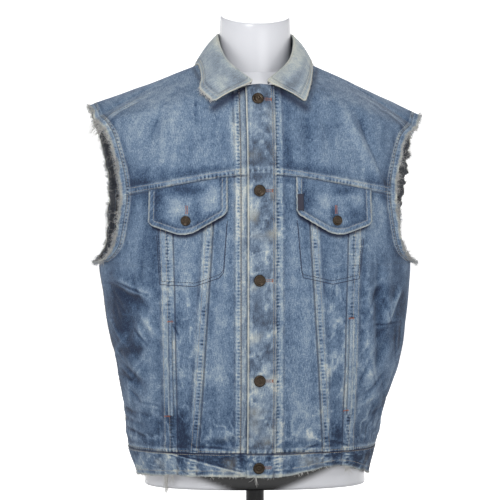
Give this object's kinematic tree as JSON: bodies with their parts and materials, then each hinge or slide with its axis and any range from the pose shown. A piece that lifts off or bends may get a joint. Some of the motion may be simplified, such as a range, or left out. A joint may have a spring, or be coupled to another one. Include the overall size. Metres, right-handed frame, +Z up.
{
  "type": "denim vest on a dress form",
  "caption": "Sleeveless buttoned denim vest with a folded collar, pointed pocket flaps and frayed cut edges, worn by a white limbless dress form on a low black stand.",
  "frame": {"origin": "on the floor, at the axis of the stand's pole, under the centre of the base plate", "axes": "+Z up, the front of the vest faces -Y, +X is to the right as seen from the front"},
  "size_m": [0.521, 0.3, 0.8652],
  "materials": {
    "denim": "faded indigo twill, paler on ridges and along stitched edges",
    "frayed_threads": "loose cotton threads, pale and matt",
    "buttons": "aged dark bronze, worn bright at the rim",
    "form_shell": "smooth glossy white shell",
    "stand": "black satin paint"
  },
  "bodies": {
    "root": {"front_centre_left": "denim", "front_centre_right": "denim", "front_middle_left": "denim", "front_middle_right": "denim", "front_side_left": "denim", "front_side_right": "denim", "front_yoke_left": "denim", "front_yoke_right": "denim", "placket_left_under": "denim", "placket_right_over": "denim", "back_centre": "denim", "back_side_left": "denim", "back_side_right": "denim", "back_yoke": "denim", "waistband_left": "denim", "waistband_right": "denim", "waistband_back": "denim", "pocket_flap_left": "denim", "pocket_flap_right": "denim", "flap_tab": "denim", "hand_pocket_welt_left": "denim", "hand_pocket_welt_right": "denim", "front_button_1": "buttons", "front_button_2": "buttons", "front_button_3": "buttons", "front_button_4": "buttons", "front_button_5": "buttons", "flap_button_left": "buttons", "flap_button_right": "buttons", "collar": "denim", "cut_sleeve_left": "denim", "cut_sleeve_right": "denim", "armhole_fray_left": "frayed_threads", "armhole_fray_right": "frayed_threads", "hem_fray": "frayed_threads", "dress_form": "form_shell", "stand_pole": "stand", "stand_base": "stand"}
  },
  "joints": []
}
